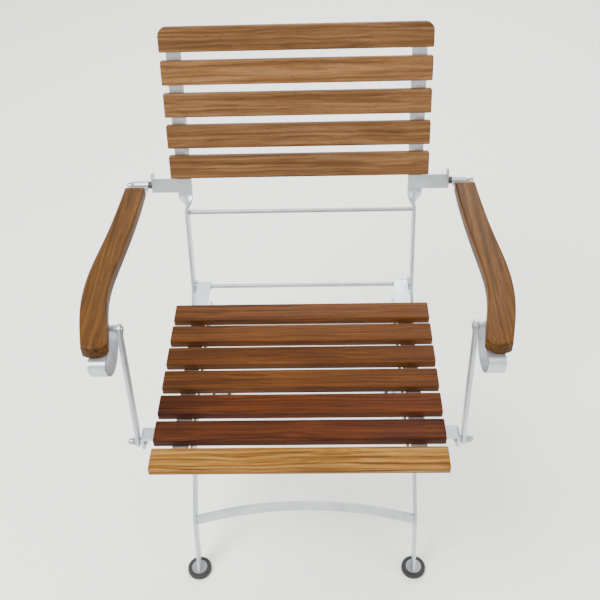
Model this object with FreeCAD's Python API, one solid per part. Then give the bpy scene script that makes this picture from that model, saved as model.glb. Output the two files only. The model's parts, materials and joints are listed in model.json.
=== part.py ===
import FreeCAD, Part
import math
import os

# Folding armchair: flat galvanised bars carry wooden slats. All sizes are in millimetres.
# While the parts are made, y runs rearwards from the front edge of the seat, z is height above
# the floor and x is sideways. At the end every part is moved so that y = 0 is mid-depth.

V = FreeCAD.Vector

# Wood
SLAT_LENGTH = 450.0
SLAT_WIDTH = 40.0
SLAT_THICKNESS = 15.0
SLAT_EDGE_RADIUS = 2.5
TOP_SLAT_CORNER_RADIUS = 14.0
SEAT_SLAT_COUNT = 7
SEAT_SLAT_PITCH = 53.0
SEAT_TOP_HEIGHT = 443.0
BACK_SLAT_COUNT = 5
BACK_SLAT_PITCH = 53.7
BACK_SLATS_START = 216.2
BACK_RECLINE = 16.5

# Flat bars and round rods of the two leg frames
BAR_WIDTH = 25.0
BAR_THICKNESS = 5.0
ROD_DIAMETER = 8.0
FRAME_INSET = 19.0
FRAME_GAP = 1.5
HINGE_SETBACK = 75.0
FRONT_LEG_ANGLE = 45.0
REAR_LEG_ANGLE = 56.2
FOOT_ANGLE = 20.0
KNEE_HEIGHT = 112.0
KNEE_BEND_RADIUS = 40.0
HINGE_BEND_RADIUS = 60.0
UPPER_ROD_RISE = 148.0
TWIST_START = 156.0
TWIST_LENGTH = 24.0
UPRIGHT_LENGTH = 465.0
STRETCHER_SHARE = 0.8
CROSSBAR_BOW = 30.0

# Seat frame
RAIL_WIDTH = 25.0
RAIL_THICKNESS = 4.0
RAIL_GAP = 10.0
RAIL_FRONT = 10.0
BEARER_HEIGHT = 20.0
BEARER_THICKNESS = 4.0
BEARER_INSET = 3.0
BEARER_REAR_GAP = 43.0
BEARER_LUG_DEPTH = 14.0
BEARER_LUG_LENGTH = 14.0
SUPPORT_ROD_SETBACK = 45.0
SUPPORT_GAP = 0.3
SEAT_BRACKET_OVERHANG = 23.0
SEAT_BRACKET_WIDTH = 24.0
SEAT_BRACKET_DROP = 28.0

# Arms, straps and links
ARM_PIVOT_RISE = 200.3
ARM_REACH = 354.0
LINK_HEAD_DROP = 7.0
ARM_THICKNESS = 22.0
ARM_FRONT = 69.0
ARM_NOSE = 8.0
ARM_REAR_GAP = 32.0
ARM_EDGE_RADIUS = 4.0
STRAP_WIDTH = 25.0
STRAP_THICKNESS = 4.0
SCROLL_RADIUS = 36.0
SCROLL_DRIFT = 3.0
PIN_DIAMETER = 6.0
PIN_CAP_RADIUS = 3.6
PIN_CAP_HEIGHT = 1.5
BOLT_HEAD_RADIUS = 5.0
COLLAR_RADIUS = 5.5
NUT_ACROSS = 11.0
NUT_HEIGHT = 5.5
NUT_DOME_RADIUS = 4.8
NUT_DOME_HEIGHT = 8.0
BRACKET_HEIGHT = 25.0
BRACKET_THICKNESS = 4.0
BRACKET_OVERHANG = 38.0
ARM_WASHER_THICKNESS = 4.5
ARM_WASHER_GAP = 0.5
LINK_WIDTH = 18.0
LINK_THICKNESS = 5.0
LINK_GAP = 5.0
LINK_LEAN = 6.0
LINK_END_STRAIGHT = 20.0
LINK_EYE_GAP = 1.5

# Feet
FOOT_PAD_DIAMETER = 45.0
FOOT_PAD_HEIGHT = 10.0
FOOT_DISC_DIAMETER = 29.0
FOOT_DISC_THICKNESS = 4.0

# Fasteners and clearances
RUNNING_CLEARANCE = 0.05
SIDE_CLEARANCE = 0.3
OPEN_PIVOT_CLEARANCE = 0.45
SCREW_SHANK_DIAMETER = 4.0
SCREW_HEAD_DIAMETER = 8.0
SCREW_HEAD_HEIGHT = 2.0
SCREW_BITE = 8.0
RIVET_DIAMETER = 8.0
RIVET_HEAD_DIAMETER = 16.0
RIVET_HEAD_HEIGHT = 4.0

# Values worked out from the driving dimensions
SEAT_DEPTH = (SEAT_SLAT_COUNT - 1) * SEAT_SLAT_PITCH + SLAT_WIDTH
RAIL_TOP = SEAT_TOP_HEIGHT - SLAT_THICKNESS
RAIL_BOTTOM = RAIL_TOP - RAIL_THICKNESS
ROD_RADIUS = ROD_DIAMETER / 2
SLAT_END = SLAT_LENGTH / 2
FRAME_HALF_WIDTH = SLAT_END - FRAME_INSET
SEAT_BRACKET_REACH = SLAT_END + SEAT_BRACKET_OVERHANG
BRACKET_REACH = SLAT_END + BRACKET_OVERHANG
ARM_EYE_START = BRACKET_REACH + ARM_WASHER_THICKNESS + ARM_WASHER_GAP
ARM_EYE_LENGTH = STRAP_WIDTH
LINK_START = SEAT_BRACKET_REACH + LINK_GAP
LINK_TOP_START = LINK_START + LINK_LEAN
FRONT_EYE_START = LINK_TOP_START + LINK_THICKNESS + LINK_EYE_GAP
FRONT_EYE_LENGTH = STRAP_WIDTH
SCROLL_START = FRONT_EYE_START
PIN_RADIUS = PIN_DIAMETER / 2
STRAP_EYE_RADIUS = PIN_RADIUS + RUNNING_CLEARANCE + STRAP_THICKNESS
EYE_BORE = ROD_RADIUS + RUNNING_CLEARANCE
EYE_RADIUS = EYE_BORE + RAIL_THICKNESS
HINGE = (SEAT_DEPTH + HINGE_SETBACK, RAIL_TOP - EYE_RADIUS)
FRAME_INSIDE = FRAME_HALF_WIDTH - BAR_THICKNESS
REAR_FRAME_OUTSIDE = FRAME_INSIDE - FRAME_GAP
REAR_FRAME_INSIDE = REAR_FRAME_OUTSIDE - BAR_THICKNESS
RAIL_OUTSIDE = FRAME_HALF_WIDTH - RAIL_GAP
RAIL_INSIDE = RAIL_OUTSIDE - RAIL_WIDTH
BEARER_OUTSIDE = RAIL_INSIDE - BEARER_INSET
BEARER_BOTTOM = RAIL_TOP - BEARER_HEIGHT
SUPPORT_ROD = (SUPPORT_ROD_SETBACK, BEARER_BOTTOM - SUPPORT_GAP - ROD_RADIUS)
HALF_BAR = BAR_WIDTH / 2
SIDES = {"left": 1, "right": -1}


def turned(angle):
    """Rearward and upward direction at an angle from vertical, in the side plane."""
    return (math.sin(math.radians(angle)), math.cos(math.radians(angle)))


UP = turned(BACK_RECLINE)


def on_back(rise, offset=0.0):
    """Point up the reclined upright from the hinge; offset is square to it, rearwards."""
    return (HINGE[0] + rise * UP[0] + offset * UP[1], HINGE[1] + rise * UP[1] - offset * UP[0])


def below(point, height, angle, forwards):
    """Where a leg from a point meets a height, leaning at an angle from vertical."""
    run = (point[1] - height) * math.tan(math.radians(angle))
    return (point[0] - run if forwards else point[0] + run, height)


FRONT_KNEE = below(HINGE, KNEE_HEIGHT, FRONT_LEG_ANGLE, True)
FRONT_FOOT = below(FRONT_KNEE, FOOT_PAD_HEIGHT, FOOT_ANGLE, True)
REAR_KNEE = below(SUPPORT_ROD, KNEE_HEIGHT, REAR_LEG_ANGLE, False)
REAR_FOOT = below(REAR_KNEE, FOOT_PAD_HEIGHT, FOOT_ANGLE, False)


def crossing(a, b, c, d):
    """Point where line ab meets line cd."""
    run = ((b[0] - a[0]), (b[1] - a[1]))
    cut = ((d[0] - c[0]), (d[1] - c[1]))
    scale = run[0] * cut[1] - run[1] * cut[0]
    along = ((c[0] - a[0]) * cut[1] - (c[1] - a[1]) * cut[0]) / scale
    return (a[0] + along * run[0], a[1] + along * run[1])


SCISSOR = crossing(HINGE, FRONT_KNEE, SUPPORT_ROD, REAR_KNEE)
ARM_PIVOT = on_back(ARM_PIVOT_RISE)
ARM_DROP = STRAP_THICKNESS + LINK_HEAD_DROP
LINK_HEAD = (ARM_PIVOT[0] - ARM_REACH, ARM_PIVOT[1] - ARM_DROP)
LINK_FOOT = (HINGE[0] - ARM_REACH, HINGE[1] - ARM_DROP)
STRAP_BOTTOM = ARM_PIVOT[1] - STRAP_EYE_RADIUS
ARM_BOTTOM = STRAP_BOTTOM + STRAP_THICKNESS
STRETCHER = (SCISSOR[0] + STRETCHER_SHARE * (REAR_KNEE[0] - SCISSOR[0]),
             SCISSOR[1] + STRETCHER_SHARE * (REAR_KNEE[1] - SCISSOR[1]))

# Plan of the arm: centre line outside the slat ends, share of the arm's length, half width
ARM_PLAN = ((60.5, 0.0, 17.3), (63.0, 0.17, 18.2), (69.0, 0.38, 18.9), (75.3, 0.54, 19.7),
            (77.8, 0.68, 19.6), (73.7, 0.80, 19.9), (65.5, 0.91, 19.9), (58.5, 1.0, 18.6))
SCROLL_REAR = LINK_HEAD[0] - STRAP_EYE_RADIUS + STRAP_THICKNESS / 2
SCROLL_SLOPE = SCROLL_DRIFT / (2 * SCROLL_RADIUS)
ARM_REAR = ARM_PIVOT[0] - ARM_REAR_GAP
ARM_SIDE_FRONT = ARM_FRONT + ARM_NOSE
STRAP_FRONT_REACH = (SCROLL_START + STRAP_WIDTH / 2 - SLAT_END
                     + SCROLL_SLOPE * (SCROLL_REAR - ARM_SIDE_FRONT))
STRAP_PLAN = tuple((reach, share, STRAP_WIDTH / 2) for reach, share, half in ARM_PLAN[:-1])
STRAP_PLAN += ((STRAP_FRONT_REACH, 1.0, STRAP_WIDTH / 2),)


def cylinder(point, radius, start, end):
    """Cylinder along x between two x values, centred on a side-plane point."""
    low = min(start, end)
    return Part.makeCylinder(radius, abs(end - start), V(low, point[0], point[1]), V(1, 0, 0))


def box(x_range, y_range, z_range):
    size = [r[1] - r[0] for r in (x_range, y_range, z_range)]
    return Part.makeBox(size[0], size[1], size[2], V(x_range[0], y_range[0], z_range[0]))


def mirror(shape, side):
    """The shape itself on the left, its mirror image on the right."""
    return shape if side > 0 else shape.mirror(V(0, 0, 0), V(1, 0, 0))


def pair(shape):
    """A shape and its mirror image, as two solids."""
    return [shape, mirror(shape, -1)]


def group(shapes):
    return Part.makeCompound(shapes)


def rounded_path(points, bends):
    """Straight runs joined by tangent arcs, one bend radius for each inner point."""
    runs = []
    start = points[0]
    for i in range(1, len(points) - 1):
        a, b, c = points[i - 1], points[i], points[i + 1]
        into = unit(a, b)
        out = unit(b, c)
        turn = math.atan2(into[0] * out[1] - into[1] * out[0], into[0] * out[0] + into[1] * out[1])
        side = 1 if turn > 0 else -1
        back = bends[i - 1] * math.tan(abs(turn) / 2)
        enter = (b[0] - into[0] * back, b[1] - into[1] * back)
        leave = (b[0] + out[0] * back, b[1] + out[1] * back)
        centre = (enter[0] - into[1] * side * bends[i - 1], enter[1] + into[0] * side * bends[i - 1])
        runs.append(("line", start, enter))
        runs.append(("arc", enter, leave, centre, bends[i - 1], side))
        start = leave
    runs.append(("line", start, points[-1]))
    return runs


def unit(a, b):
    length = math.hypot(b[0] - a[0], b[1] - a[1])
    return ((b[0] - a[0]) / length, (b[1] - a[1]) / length)


def offset_edges(runs, off, x):
    """Edges of one side of a bar, parallel to its path at a distance to the left of it."""
    edges = []
    for run in runs:
        if run[0] == "line":
            if math.dist(run[1], run[2]) < 1e-6:
                continue
            along = unit(run[1], run[2])
            ends = [V(x, p[0] - along[1] * off, p[1] + along[0] * off) for p in run[1:3]]
            edges.append(Part.LineSegment(ends[0], ends[1]).toShape())
            continue
        centre = V(x, run[3][0], run[3][1])
        scale = (run[4] - run[5] * off) / run[4]
        first = (V(x, run[1][0], run[1][1]) - centre) * scale
        last = (V(x, run[2][0], run[2][1]) - centre) * scale
        middle = first + last
        middle.Length = first.Length
        edges.append(Part.Arc(centre + first, centre + middle, centre + last).toShape())
    return edges


def end_cap(runs, index, half, x, is_round):
    """Closing edge of a bar at its first (0) or last (-1) run, square or half round."""
    run = runs[index]
    along = unit(run[1], run[2])
    at = run[1] if index == 0 else run[2]
    out = -1 if index == 0 else 1
    left = V(x, at[0] - along[1] * half, at[1] + along[0] * half)
    right = V(x, at[0] + along[1] * half, at[1] - along[0] * half)
    if not is_round:
        return Part.LineSegment(left, right).toShape()
    tip = V(x, at[0] + along[0] * half * out, at[1] + along[1] * half * out)
    return Part.Arc(left, tip, right).toShape()


def bent_bar(points, bends, width, x_start, x_end, round_start=False, round_end=False):
    """Flat bar on edge: its width lies in the side plane, along a path with rounded bends."""
    runs = rounded_path(points, bends)
    half = width / 2
    edges = offset_edges(runs, half, x_start) + offset_edges(runs, -half, x_start)
    edges.append(end_cap(runs, 0, half, x_start, round_start))
    edges.append(end_cap(runs, -1, half, x_start, round_end))
    outline = Part.Wire(Part.__sortEdges__(edges))
    return Part.Face(outline).extrude(V(x_end - x_start, 0, 0))


def floor_cut(height):
    """Everything below a height, for trimming a leg to its foot."""
    return box((-500, 500), (-500, 1500), (height - 200, height))


def screw(centre, direction, grip):
    """Pan-head screw: the head sits on the bar and the shank goes through it into the wood."""
    head = Part.makeCylinder(SCREW_HEAD_DIAMETER / 2, SCREW_HEAD_HEIGHT,
                             centre - direction * SCREW_HEAD_HEIGHT, direction)
    rim = [e for e in head.Edges if e.BoundBox.DiagonalLength > 1 and len(e.Vertexes) == 1]
    outer = max(rim, key=lambda e: (centre - e.CenterOfMass).dot(direction))
    head = head.makeFillet(SCREW_HEAD_HEIGHT * 0.7, [outer])
    shank = Part.makeCylinder(SCREW_SHANK_DIAMETER / 2, grip + SCREW_BITE, centre, direction)
    return head.fuse(shank).removeSplitter()


def screw_hole(centre, direction, grip):
    return Part.makeCylinder(SCREW_SHANK_DIAMETER / 2, grip + SCREW_BITE, centre, direction)


def slat(corner_radius=0.0):
    """A slat lying flat: length on x, width on y from 0, thickness on z from 0."""
    half = SLAT_LENGTH / 2
    body = box((-half, half), (0, SLAT_WIDTH), (0, SLAT_THICKNESS))
    if corner_radius:
        upright = [e for e in body.Edges
                   if abs(e.Vertexes[0].Z - e.Vertexes[1].Z) > 1 and e.Vertexes[0].Y > 1]
        body = body.makeFillet(corner_radius, upright)
    rim = [e for e in body.Edges if e.BoundBox.ZLength < 0.01]
    return body.makeFillet(SLAT_EDGE_RADIUS, rim)


def seat_screw_points(i):
    y = i * SEAT_SLAT_PITCH + SLAT_WIDTH / 2
    x = (RAIL_OUTSIDE + RAIL_INSIDE) / 2
    return [V(s * x, y, RAIL_BOTTOM) for s in SIDES.values()]


def back_screw_points(i):
    rise = BACK_SLATS_START + i * BACK_SLAT_PITCH + SLAT_WIDTH / 2
    y, z = on_back(rise, BAR_THICKNESS / 2)
    x = FRAME_HALF_WIDTH - BAR_THICKNESS / 2
    return [V(s * x, y, z) for s in SIDES.values()]


UPWARD = V(0, 0, 1)
FORWARD_FROM_BACK = V(0, -UP[1], UP[0])


def make_seat_slats():
    nodes = {}
    for i in range(SEAT_SLAT_COUNT):
        piece = slat()
        piece.translate(V(0, i * SEAT_SLAT_PITCH, RAIL_TOP))
        for point in seat_screw_points(i):
            piece = piece.cut(screw_hole(point, UPWARD, RAIL_THICKNESS))
        nodes["seat_slat_%d" % (i + 1)] = piece
    return nodes


def make_back_slats():
    nodes = {}
    for i in range(BACK_SLAT_COUNT):
        last = i == BACK_SLAT_COUNT - 1
        piece = slat(TOP_SLAT_CORNER_RADIUS if last else 0.0)
        # Slat width goes up the back and its thickness forwards from the upright's front face.
        piece.rotate(V(0, 0, 0), V(1, 0, 0), 90 - BACK_RECLINE)
        y, z = on_back(BACK_SLATS_START + i * BACK_SLAT_PITCH, -BAR_THICKNESS / 2)
        piece.translate(V(0, y, z))
        for point in back_screw_points(i):
            piece = piece.cut(screw_hole(point, FORWARD_FROM_BACK, BAR_THICKNESS))
        nodes["back_slat_%d" % (i + 1)] = piece
    return nodes


def twisted_length():
    """The bar turned a quarter turn about its own length, from on edge to face forward."""
    sections = []
    steps = 16
    x = FRAME_HALF_WIDTH - BAR_THICKNESS / 2
    for k in range(steps + 1):
        share = k / steps
        angle = math.pi / 2 * share
        y, z = on_back(TWIST_START + TWIST_LENGTH * share)
        across = V(math.sin(angle), UP[1] * math.cos(angle), -UP[0] * math.cos(angle))
        through = V(math.cos(angle), -UP[1] * math.sin(angle), UP[0] * math.sin(angle))
        centre = V(x, y, z)
        corners = []
        for a, t in ((1, 1), (-1, 1), (-1, -1), (1, -1)):
            corners.append(centre + across * (a * HALF_BAR) + through * (t * BAR_THICKNESS / 2))
        sections.append(Part.makePolygon(corners + corners[:1]))
    return Part.makeLoft(sections, True, False)


def upright_face():
    """The part of the bar above the twist, with its wide face forwards and a rounded top."""
    x = FRAME_HALF_WIDTH - BAR_THICKNESS / 2
    length = UPRIGHT_LENGTH - TWIST_START - TWIST_LENGTH
    piece = box((x - HALF_BAR, x + HALF_BAR), (-BAR_THICKNESS / 2, BAR_THICKNESS / 2), (0, length))
    corners = [e for e in piece.Edges if e.BoundBox.YLength > 1 and e.Vertexes[0].Z > 1
               and e.BoundBox.XLength < 0.01]
    piece = piece.makeFillet(HALF_BAR * 0.6, corners)
    piece.rotate(V(0, 0, 0), V(1, 0, 0), -BACK_RECLINE)
    y, z = on_back(TWIST_START + TWIST_LENGTH)
    piece.translate(V(0, y, z))
    return piece


def make_back_bar():
    """Upright and front leg in one bar, standing on its foot disc."""
    toe = (FRONT_FOOT[0] - unit(FRONT_FOOT, FRONT_KNEE)[0] * BAR_WIDTH,
           FRONT_FOOT[1] - unit(FRONT_FOOT, FRONT_KNEE)[1] * BAR_WIDTH)
    path = [toe, FRONT_KNEE, HINGE, on_back(TWIST_START)]
    lower = bent_bar(path, [KNEE_BEND_RADIUS, HINGE_BEND_RADIUS], BAR_WIDTH,
                     FRAME_INSIDE, FRAME_HALF_WIDTH)
    bar = lower.cut(floor_cut(FOOT_PAD_HEIGHT)).fuse([twisted_length(), upright_face()])
    bar = bar.removeSplitter()
    bar = bar.cut(cylinder(HINGE, ROD_RADIUS, FRAME_INSIDE - 1, FRAME_HALF_WIDTH + 1))
    bar = bar.cut(cylinder(SCISSOR, RIVET_DIAMETER / 2, FRAME_INSIDE - 1, FRAME_HALF_WIDTH + 1))
    for i in range(BACK_SLAT_COUNT):
        for point in back_screw_points(i):
            bar = bar.cut(screw_hole(point, FORWARD_FROM_BACK, BAR_THICKNESS))
    return bar


def make_rear_leg():
    """Rear leg: its top end carries the support rod and it crosses inside the front leg."""
    heel = (REAR_FOOT[0] - unit(REAR_FOOT, REAR_KNEE)[0] * BAR_WIDTH,
            REAR_FOOT[1] - unit(REAR_FOOT, REAR_KNEE)[1] * BAR_WIDTH)
    leg = bent_bar([SUPPORT_ROD, REAR_KNEE, heel], [KNEE_BEND_RADIUS], BAR_WIDTH,
                   REAR_FRAME_INSIDE, REAR_FRAME_OUTSIDE, round_start=True)
    leg = leg.cut(floor_cut(FOOT_PAD_HEIGHT))
    bore = RIVET_DIAMETER / 2 + RUNNING_CLEARANCE
    leg = leg.cut(cylinder(SCISSOR, bore, REAR_FRAME_INSIDE - 1, REAR_FRAME_OUTSIDE + 1))
    return leg.cut(cylinder(SUPPORT_ROD, ROD_RADIUS, REAR_FRAME_INSIDE - 1, REAR_FRAME_OUTSIDE + 1))


def make_crossbar():
    """Flat bar between the front legs, bowed rearwards so that heels clear it."""
    half = FRAME_INSIDE
    radius = (half * half + CROSSBAR_BOW * CROSSBAR_BOW) / (2 * CROSSBAR_BOW)
    y = FRONT_KNEE[0] + CROSSBAR_BOW - radius
    z = FRONT_KNEE[1] - BAR_WIDTH / 2
    outer = Part.makeCylinder(radius + BAR_THICKNESS / 2, BAR_WIDTH, V(0, y, z))
    inner = Part.makeCylinder(radius - BAR_THICKNESS / 2, BAR_WIDTH, V(0, y, z))
    window = box((-half, half), (FRONT_KNEE[0] - BAR_WIDTH, FRONT_KNEE[0] + 2 * CROSSBAR_BOW),
                 (z, z + BAR_WIDTH))
    return outer.cut(inner).common(window)


def make_foot(foot, x):
    """Steel disc let into a round rubber pad."""
    pad = Part.makeCylinder(FOOT_PAD_DIAMETER / 2, FOOT_PAD_HEIGHT, V(x, foot[0], 0))
    rims = [e for e in pad.Edges if len(e.Vertexes) == 1]
    pad = pad.makeFillet(FOOT_PAD_HEIGHT / 4, rims)
    disc = Part.makeCylinder(FOOT_DISC_DIAMETER / 2, FOOT_DISC_THICKNESS,
                             V(x, foot[0], FOOT_PAD_HEIGHT - FOOT_DISC_THICKNESS))
    return disc, pad.cut(disc)


def make_scissor_rivet():
    """Rivet through both legs, a running fit in the rear leg."""
    shank = cylinder(SCISSOR, RIVET_DIAMETER / 2, REAR_FRAME_INSIDE - SIDE_CLEARANCE, FRAME_HALF_WIDTH)
    outer = rivet_head(SCISSOR, FRAME_HALF_WIDTH, 1)
    inner = rivet_head(SCISSOR, REAR_FRAME_INSIDE - SIDE_CLEARANCE, -1)
    return shank.fuse([outer, inner]).removeSplitter()


def rivet_head(point, x, outwards):
    head = cylinder(point, RIVET_HEAD_DIAMETER / 2, x, x + outwards * RIVET_HEAD_HEIGHT)
    rims = [e for e in head.Edges if len(e.Vertexes) == 1]
    rim = max(rims, key=lambda e: e.CenterOfMass.x * outwards)
    return head.makeFillet(RIVET_HEAD_HEIGHT * 0.7, [rim])


def ring(point, radius, bore, start, end):
    return cylinder(point, radius, start, end).cut(cylinder(point, bore, start, end))


def make_rail():
    """Flat bar under the slat ends; its rear end is rolled down round the hinge rod."""
    rail = box((RAIL_INSIDE, RAIL_OUTSIDE), (RAIL_FRONT, HINGE[0]), (RAIL_BOTTOM, RAIL_TOP))
    eye = cylinder(HINGE, EYE_RADIUS, RAIL_INSIDE, RAIL_OUTSIDE)
    slit = box((RAIL_INSIDE, RAIL_OUTSIDE), (HINGE[0] - EYE_RADIUS, HINGE[0]),
               (RAIL_BOTTOM - 1.5, RAIL_BOTTOM))
    rail = rail.fuse(eye.cut(slit)).cut(cylinder(HINGE, EYE_BORE, RAIL_INSIDE, RAIL_OUTSIDE))
    rail = rail.removeSplitter()
    for i in range(SEAT_SLAT_COUNT):
        for point in seat_screw_points(i):
            rail = rail.cut(screw_hole(point, UPWARD, RAIL_THICKNESS))
    return rail


def make_bearer():
    """Strip on edge beside the rail. It rests on the support rod, and a lug stops the rod."""
    x = BEARER_OUTSIDE - BEARER_THICKNESS
    stop = SUPPORT_ROD[0] - ROD_RADIUS - SUPPORT_GAP
    rear = HINGE[0] - BEARER_REAR_GAP
    low = BEARER_BOTTOM - BEARER_LUG_DEPTH
    front = stop - BEARER_LUG_LENGTH
    outline = [(front, RAIL_TOP), (rear - BEARER_HEIGHT, RAIL_TOP), (rear, RAIL_TOP - BEARER_HEIGHT / 3),
               (rear - BEARER_HEIGHT, BEARER_BOTTOM), (stop, BEARER_BOTTOM), (stop, low), (front, low)]
    corners = [V(x, y, z) for y, z in outline]
    strip = Part.Face(Part.makePolygon(corners + corners[:1])).extrude(V(BEARER_THICKNESS, 0, 0))
    tabs = []
    for i in (1, 3, 5):
        middle = i * SEAT_SLAT_PITCH + SLAT_WIDTH / 2
        tabs.append(box((BEARER_OUTSIDE, RAIL_INSIDE), (middle - 10, middle + 10), (RAIL_BOTTOM, RAIL_TOP)))
    return strip.fuse(tabs).removeSplitter()


def make_seat_bracket():
    """Angle bracket under the second slat: its flange takes the foot of the arm link."""
    y = (LINK_FOOT[0] - SEAT_BRACKET_WIDTH / 2, LINK_FOOT[0] + SEAT_BRACKET_WIDTH / 2)
    inside = SEAT_BRACKET_REACH - RAIL_THICKNESS
    plate = box((RAIL_OUTSIDE, SEAT_BRACKET_REACH), y, (RAIL_BOTTOM, RAIL_TOP))
    flange = box((inside, SEAT_BRACKET_REACH), y, (RAIL_TOP - SEAT_BRACKET_DROP, RAIL_TOP))
    piece = plate.fuse(flange).removeSplitter()
    bend = [e for e in piece.Edges if e.BoundBox.YLength > SEAT_BRACKET_WIDTH - 1
            and abs(e.CenterOfMass.x - SEAT_BRACKET_REACH) < 0.01
            and abs(e.CenterOfMass.z - RAIL_TOP) < 0.01]
    piece = piece.makeFillet(RAIL_THICKNESS, bend)
    lower = [e for e in piece.Edges if e.BoundBox.XLength > 1 and e.BoundBox.YLength < 0.01
             and e.BoundBox.ZLength < 0.01 and e.CenterOfMass.z < RAIL_TOP - SEAT_BRACKET_DROP + 0.01]
    piece = piece.makeFillet(SEAT_BRACKET_WIDTH / 4, lower)
    return piece.cut(cylinder(LINK_FOOT, PIN_RADIUS + OPEN_PIVOT_CLEARANCE, inside - 1, SEAT_BRACKET_REACH + 1))


def make_arm_bracket():
    """Strip across the front of the upright, its outer end turned back into an ear for the arm."""
    x = FRAME_HALF_WIDTH - BAR_THICKNESS / 2 - HALF_BAR
    front = -BAR_THICKNESS / 2 - BRACKET_THICKNESS
    rise = (-BRACKET_HEIGHT / 2, BRACKET_HEIGHT / 2)
    strip = box((x, BRACKET_REACH), (front, front + BRACKET_THICKNESS), rise)
    ear = box((BRACKET_REACH - BRACKET_THICKNESS, BRACKET_REACH), (front, HALF_BAR), rise)
    tip = box((BRACKET_REACH - BRACKET_THICKNESS, BRACKET_REACH), (0, HALF_BAR), (0, rise[1] + 6))
    piece = strip.fuse([ear, tip]).removeSplitter()
    bend = [e for e in piece.Edges if e.BoundBox.ZLength > BRACKET_HEIGHT - 1
            and abs(e.CenterOfMass.x - BRACKET_REACH) < 0.01 and abs(e.CenterOfMass.y - front) < 0.01]
    piece = piece.makeFillet(BRACKET_THICKNESS, bend)
    piece.rotate(V(0, 0, 0), V(1, 0, 0), -BACK_RECLINE)
    piece.translate(V(0, ARM_PIVOT[0], ARM_PIVOT[1]))
    return piece.cut(cylinder(ARM_PIVOT, PIN_RADIUS, BRACKET_REACH - 10, BRACKET_REACH + 1))


def hexagon_nut(point, across, start, end):
    corners = []
    for k in range(7):
        angle = math.radians(60 * k)
        reach = across / 2 / math.cos(math.radians(30))
        corners.append(V(start, point[0] + reach * math.cos(angle), point[1] + reach * math.sin(angle)))
    return Part.Face(Part.makePolygon(corners)).extrude(V(end - start, 0, 0))


def acorn_nut(point, start):
    """Domed nut outside a pivot: a hexagon, then a dome."""
    crown = start + NUT_HEIGHT
    hexagon = hexagon_nut(point, NUT_ACROSS, start, crown)
    dome = cylinder(point, NUT_DOME_RADIUS, crown, crown + NUT_DOME_HEIGHT)
    rims = [e for e in dome.Edges if len(e.Vertexes) == 1]
    rim = max(rims, key=lambda e: e.CenterOfMass.x)
    return hexagon.fuse(dome.makeFillet(NUT_DOME_RADIUS * 0.9, [rim])).removeSplitter()


def make_arm_bolt():
    """Bolt from the ear through the arm's rear eye. Its head has a flat that lies on the strip."""
    end = ARM_EYE_START + ARM_EYE_LENGTH + SIDE_CLEARANCE
    inside = BRACKET_REACH - BRACKET_THICKNESS
    shank = cylinder(ARM_PIVOT, PIN_RADIUS, inside - 1, end)
    head = cylinder(ARM_PIVOT, BOLT_HEAD_RADIUS, inside - 4, inside).cut(make_arm_bracket())
    return shank.fuse([head, acorn_nut(ARM_PIVOT, end)]).removeSplitter()


def arm_points(plan, rear, front):
    """Outer and inner edge points of a plan outline between two y values."""
    outer, inner = [], []
    for k, (reach, share, half) in enumerate(plan):
        x = SLAT_END + reach
        y = rear + (front - rear) * share
        before = plan[max(k - 1, 0)]
        after = plan[min(k + 1, len(plan) - 1)]
        along = unit((before[0], before[1] * (front - rear)), (after[0], after[1] * (front - rear)))
        outer.append(V(x - along[1] * half, y + along[0] * half, 0))
        inner.append(V(x + along[1] * half, y - along[0] * half, 0))
    return outer, inner


def smooth(points):
    curve = Part.BSplineCurve()
    curve.interpolate(points)
    return curve.toShape()


def make_arm_rest():
    """Wooden arm: swept outwards at mid-length, with a rounded front end."""
    outer, inner = arm_points(ARM_PLAN, ARM_REAR, ARM_SIDE_FRONT)
    nose = V((outer[-1].x + inner[-1].x) / 2, ARM_FRONT, 0)
    tip = Part.Arc(outer[-1], nose, inner[-1]).toShape()
    back = Part.LineSegment(inner[0], outer[0]).toShape()
    outline = Part.Wire(Part.__sortEdges__([smooth(outer), tip, smooth(inner), back]))
    body = Part.Face(outline).extrude(V(0, 0, ARM_THICKNESS))
    rim = [e for e in body.Edges if e.BoundBox.ZLength < 0.01]
    body = body.makeFillet(ARM_EDGE_RADIUS, rim)
    body.translate(V(0, 0, ARM_BOTTOM))
    return body


def arm_screw_points():
    """Where the strap is screwed up into the arm."""
    points = []
    for k in (1, 3, 6):
        reach, share, half = ARM_PLAN[k]
        y = ARM_REAR + (ARM_SIDE_FRONT - ARM_REAR) * share
        points.append(V(SLAT_END + reach, y, STRAP_BOTTOM))
    return points


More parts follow.
